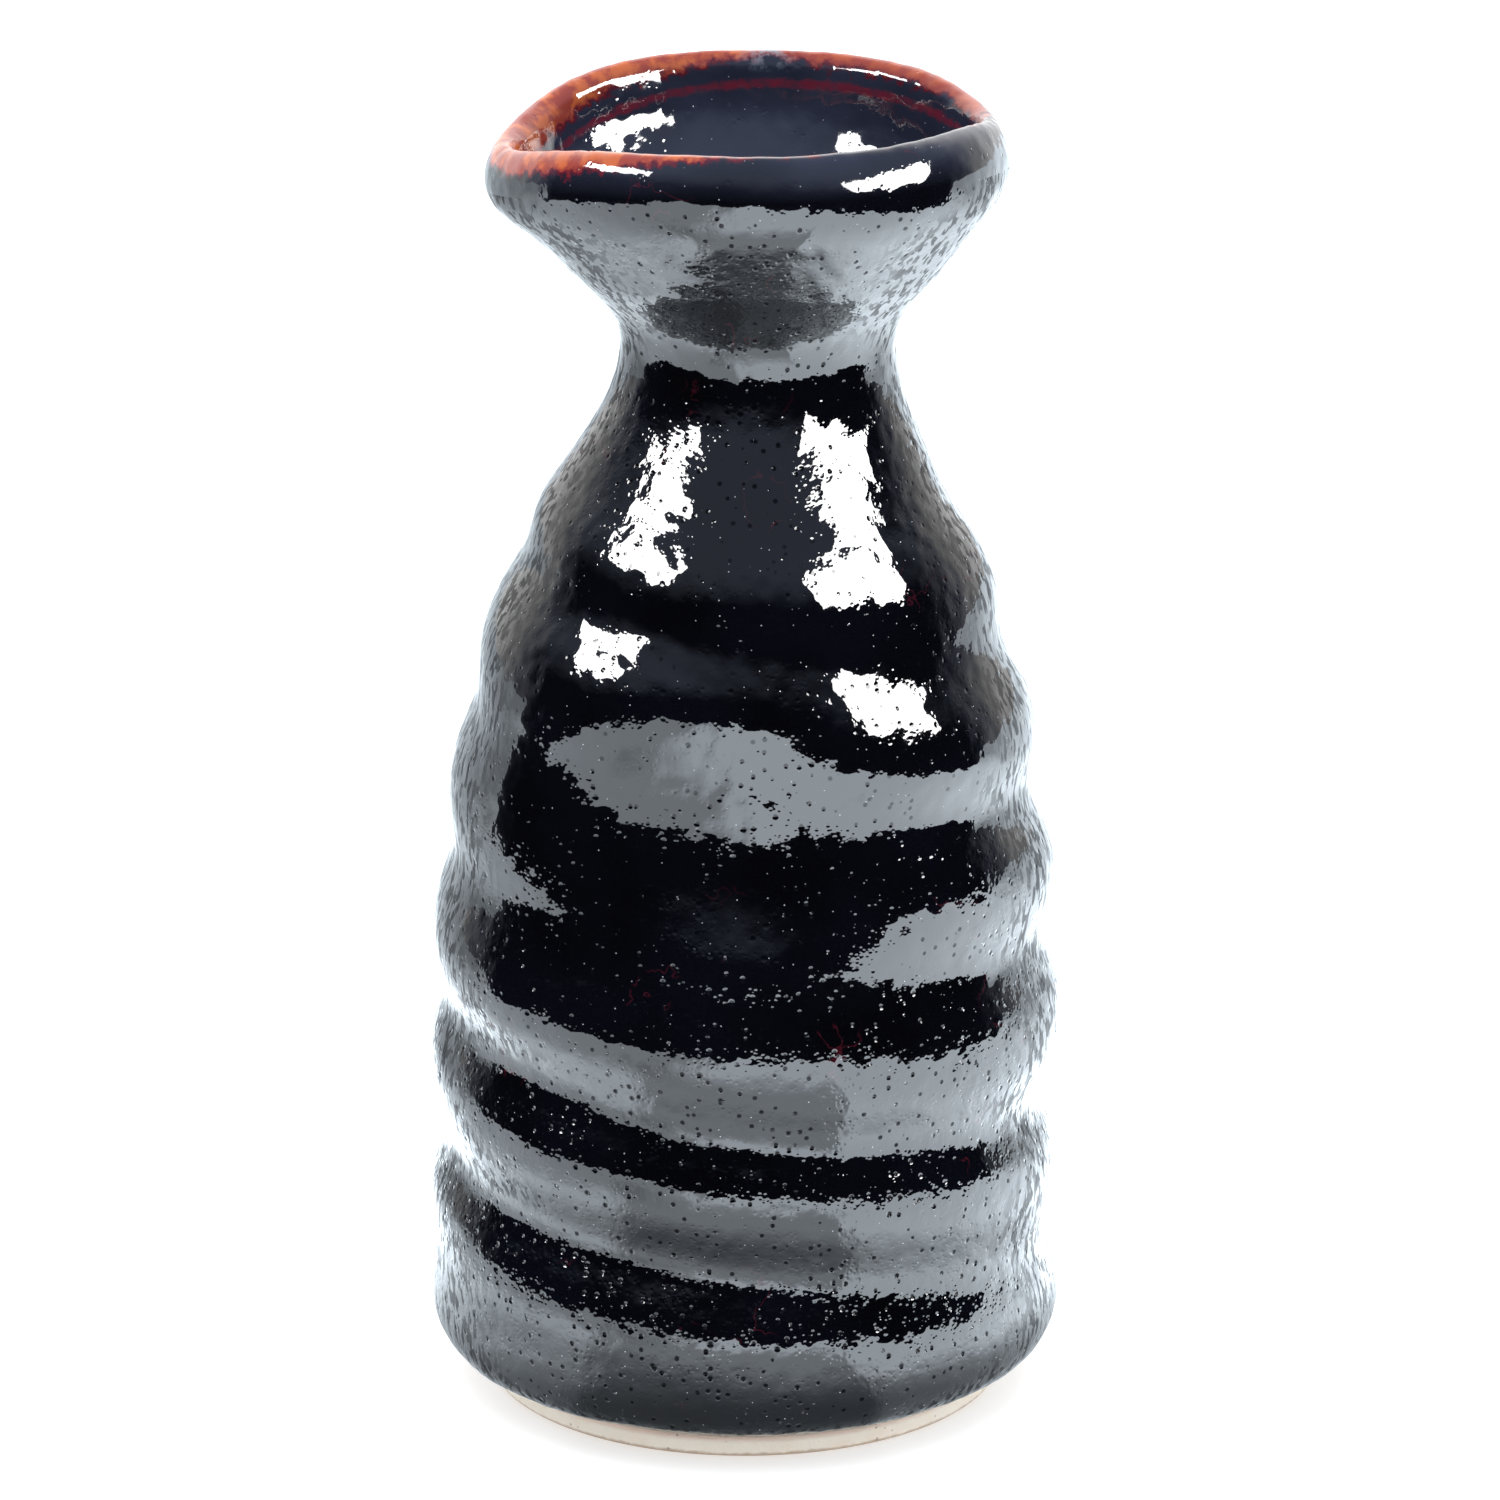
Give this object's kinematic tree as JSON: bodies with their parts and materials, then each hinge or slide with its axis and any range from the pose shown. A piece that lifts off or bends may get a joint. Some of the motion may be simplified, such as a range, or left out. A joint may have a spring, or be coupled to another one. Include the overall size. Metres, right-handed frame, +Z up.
{
  "type": "sake bottle",
  "caption": "Thrown stoneware tokkuri with a spiral-ridged belly, a narrow neck, a flared mouth with two pinched pouring corners, a black glaze and an iron-red lip.",
  "frame": {"origin": "centre of the foot, on the surface that the bottle stands on", "axes": "+Z up the bottle; -X towards the deeper pouring corner; -Y the front"},
  "size_m": [0.07, 0.0697, 0.1434],
  "materials": {
    "bare_foot_clay": "unglazed, fine-grained, matt",
    "stoneware": "unglazed, matt",
    "black_glaze": "glossy with an orange-peel surface",
    "iron_red_glaze": "glossy, breaking from orange to black",
    "lining_glaze": "glossy"
  },
  "bodies": {
    "root": {"foot_ring": "bare_foot_clay", "clay_body": "stoneware", "outer_glaze": "black_glaze", "rim_glaze": "iron_red_glaze", "inner_glaze": "lining_glaze"}
  },
  "joints": []
}
